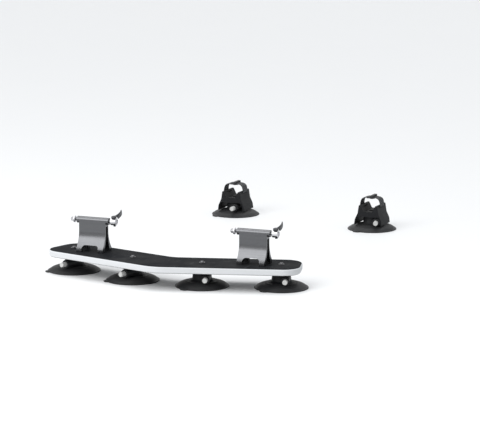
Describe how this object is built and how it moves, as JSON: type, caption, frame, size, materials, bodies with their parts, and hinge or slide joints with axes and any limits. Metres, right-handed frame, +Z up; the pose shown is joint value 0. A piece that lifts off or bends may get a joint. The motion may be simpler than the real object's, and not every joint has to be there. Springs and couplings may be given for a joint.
{
  "type": "roof bike carrier",
  "caption": "Vacuum-cup roof carrier for bicycles: swept board with fork mounts and skewers, and loose rear wheel holders with straps.",
  "frame": {"origin": "centre of the whole carrier's bounding box, on the roof plane under the pads' lips", "axes": "+X to the car's left, +Y to the car's rear along the bikes, +Z up"},
  "size_m": [0.8018, 1.2868, 0.1853],
  "materials": {
    "board_plastic": "satin sheet plastic, white core at the routed edge",
    "cup_rubber": "moulded, slightly glossy",
    "pump_plastic": "fine moulded grain",
    "plunger_plastic": "smooth",
    "seal_rubber": "smooth",
    "spring_steel": "drawn wire",
    "fastener_steel": "stainless",
    "mount_aluminium": "satin anodised extrusion",
    "skewer_steel": "polished",
    "lever_alloy": "black anodised",
    "cradle_plastic": "moulded",
    "strap_webbing": "woven webbing",
    "keeper_plastic": "moulded"
  },
  "bodies": {
    "root": {"board": "board_plastic", "pad_outer_left": "cup_rubber", "pad_inner_left": "cup_rubber", "pad_inner_right": "cup_rubber", "pad_outer_right": "cup_rubber", "pump_body_outer_left": "pump_plastic", "pump_body_inner_left": "pump_plastic", "pump_body_inner_right": "pump_plastic", "pump_body_outer_right": "pump_plastic", "pump_spring_outer_left": "spring_steel", "pump_spring_inner_left": "spring_steel", "pump_spring_inner_right": "spring_steel", "pump_spring_outer_right": "spring_steel", "pad_studs_front": "fastener_steel", "pump_end_caps_front": "pump_plastic", "check_valves_front": "seal_rubber", "cup_bolts_and_washers": "fastener_steel", "fork_mount_left": "mount_aluminium", "fork_mount_right": "mount_aluminium", "fork_mount_screws": "fastener_steel", "skewer_cam_housing_left": "skewer_steel", "skewer_cam_housing_right": "skewer_steel"},
    "wheel_holder_rear_left": {"pad_rear_left": "cup_rubber", "pump_body_rear_left": "pump_plastic", "pump_spring_rear_left": "spring_steel", "pad_stud_rear_left": "fastener_steel", "pump_end_cap_rear_left": "pump_plastic", "check_valve_rear_left": "seal_rubber", "cradle_rear_left": "cradle_plastic", "cradle_bolt_rear_left": "fastener_steel", "strap_rear_left": "strap_webbing", "strap_keeper_rear_left": "keeper_plastic"},
    "wheel_holder_rear_right": {"pad_rear_right": "cup_rubber", "pump_body_rear_right": "pump_plastic", "pump_spring_rear_right": "spring_steel", "pad_stud_rear_right": "fastener_steel", "pump_end_cap_rear_right": "pump_plastic", "check_valve_rear_right": "seal_rubber", "cradle_rear_right": "cradle_plastic", "cradle_bolt_rear_right": "fastener_steel", "strap_rear_right": "strap_webbing", "strap_keeper_rear_right": "keeper_plastic"},
    "plunger_outer_left": {"plunger_outer_left": "plunger_plastic", "piston_seal_outer_left": "seal_rubber"},
    "plunger_inner_left": {"plunger_inner_left": "plunger_plastic", "piston_seal_inner_left": "seal_rubber"},
    "plunger_inner_right": {"plunger_inner_right": "plunger_plastic", "piston_seal_inner_right": "seal_rubber"},
    "plunger_outer_right": {"plunger_outer_right": "plunger_plastic", "piston_seal_outer_right": "seal_rubber"},
    "plunger_rear_left": {"plunger_rear_left": "plunger_plastic", "piston_seal_rear_left": "seal_rubber"},
    "plunger_rear_right": {"plunger_rear_right": "plunger_plastic", "piston_seal_rear_right": "seal_rubber"},
    "lever_left": {"skewer_lever_left": "lever_alloy"},
    "rod_left": {"skewer_rod_left": "skewer_steel"},
    "nut_left": {"skewer_nut_left": "skewer_steel"},
    "lever_right": {"skewer_lever_right": "lever_alloy"},
    "rod_right": {"skewer_rod_right": "skewer_steel"},
    "nut_right": {"skewer_nut_right": "skewer_steel"}
  },
  "joints": [
    {"name": "wheel_holder_rear_left_place", "type": "slide", "parent": "root", "child": "wheel_holder_rear_left", "axis": [0, 1, 0], "range_m": [-0.145, 0.135]},
    {"name": "wheel_holder_rear_right_place", "type": "slide", "parent": "root", "child": "wheel_holder_rear_right", "axis": [0, 1, 0], "range_m": [-0.065, 0.215]},
    {"name": "pump_outer_left_press", "type": "slide", "parent": "root", "child": "plunger_outer_left", "axis": [0.2756, 0.9613, 0], "range_m": [0, 0.015], "stiffness_N_per_m": 400, "springref_m": -0.005, "deforming": ["pump_spring_outer_left"]},
    {"name": "pump_inner_left_press", "type": "slide", "parent": "root", "child": "plunger_inner_left", "axis": [0.2756, 0.9613, 0], "range_m": [0, 0.015], "stiffness_N_per_m": 400, "springref_m": -0.005, "deforming": ["pump_spring_inner_left"]},
    {"name": "pump_inner_right_press", "type": "slide", "parent": "root", "child": "plunger_inner_right", "axis": [-0.2756, 0.9613, 0], "range_m": [0, 0.015], "stiffness_N_per_m": 400, "springref_m": -0.005, "deforming": ["pump_spring_inner_right"]},
    {"name": "pump_outer_right_press", "type": "slide", "parent": "root", "child": "plunger_outer_right", "axis": [-0.2756, 0.9613, 0], "range_m": [0, 0.015], "stiffness_N_per_m": 400, "springref_m": -0.005, "deforming": ["pump_spring_outer_right"]},
    {"name": "pump_rear_left_press", "type": "slide", "parent": "wheel_holder_rear_left", "child": "plunger_rear_left", "axis": [0, 1, 0], "range_m": [0, 0.015], "stiffness_N_per_m": 400, "springref_m": -0.005, "deforming": ["pump_spring_rear_left"]},
    {"name": "pump_rear_right_press", "type": "slide", "parent": "wheel_holder_rear_right", "child": "plunger_rear_right", "axis": [-0.2588, 0.9659, 0], "range_m": [0, 0.015], "stiffness_N_per_m": 400, "springref_m": -0.005, "deforming": ["pump_spring_rear_right"]},
    {"name": "skewer_left_lever_turn", "type": "hinge", "parent": "root", "child": "lever_left", "pos_m": [-0.18393, -0.49857, 0.157], "axis": [0, 0.2079, -0.9781], "range_deg": [0, 180]},
    {"name": "skewer_left_rod_draw", "type": "slide", "parent": "root", "child": "rod_left", "axis": [-1, 0, 0], "range_m": [0, 0.0015]},
    {"name": "skewer_left_nut_turn", "type": "hinge", "parent": "rod_left", "child": "nut_left", "pos_m": [-0.30693, -0.49857, 0.157], "axis": [1, 0, 0], "continuous": true},
    {"name": "skewer_right_lever_turn", "type": "hinge", "parent": "root", "child": "lever_right", "pos_m": [0.31593, -0.49857, 0.157], "axis": [0, 0.2079, -0.9781], "range_deg": [0, 180]},
    {"name": "skewer_right_rod_draw", "type": "slide", "parent": "root", "child": "rod_right", "axis": [-1, 0, 0], "range_m": [0, 0.0015]},
    {"name": "skewer_right_nut_turn", "type": "hinge", "parent": "rod_right", "child": "nut_right", "pos_m": [0.19293, -0.49857, 0.157], "axis": [1, 0, 0], "continuous": true}
  ],
  "couplings": [
    {"joint": "skewer_left_rod_draw", "follows": "skewer_left_lever_turn", "m_per_rad": 0.00047699},
    {"joint": "skewer_right_rod_draw", "follows": "skewer_right_lever_turn", "m_per_rad": 0.00047699}
  ]
}
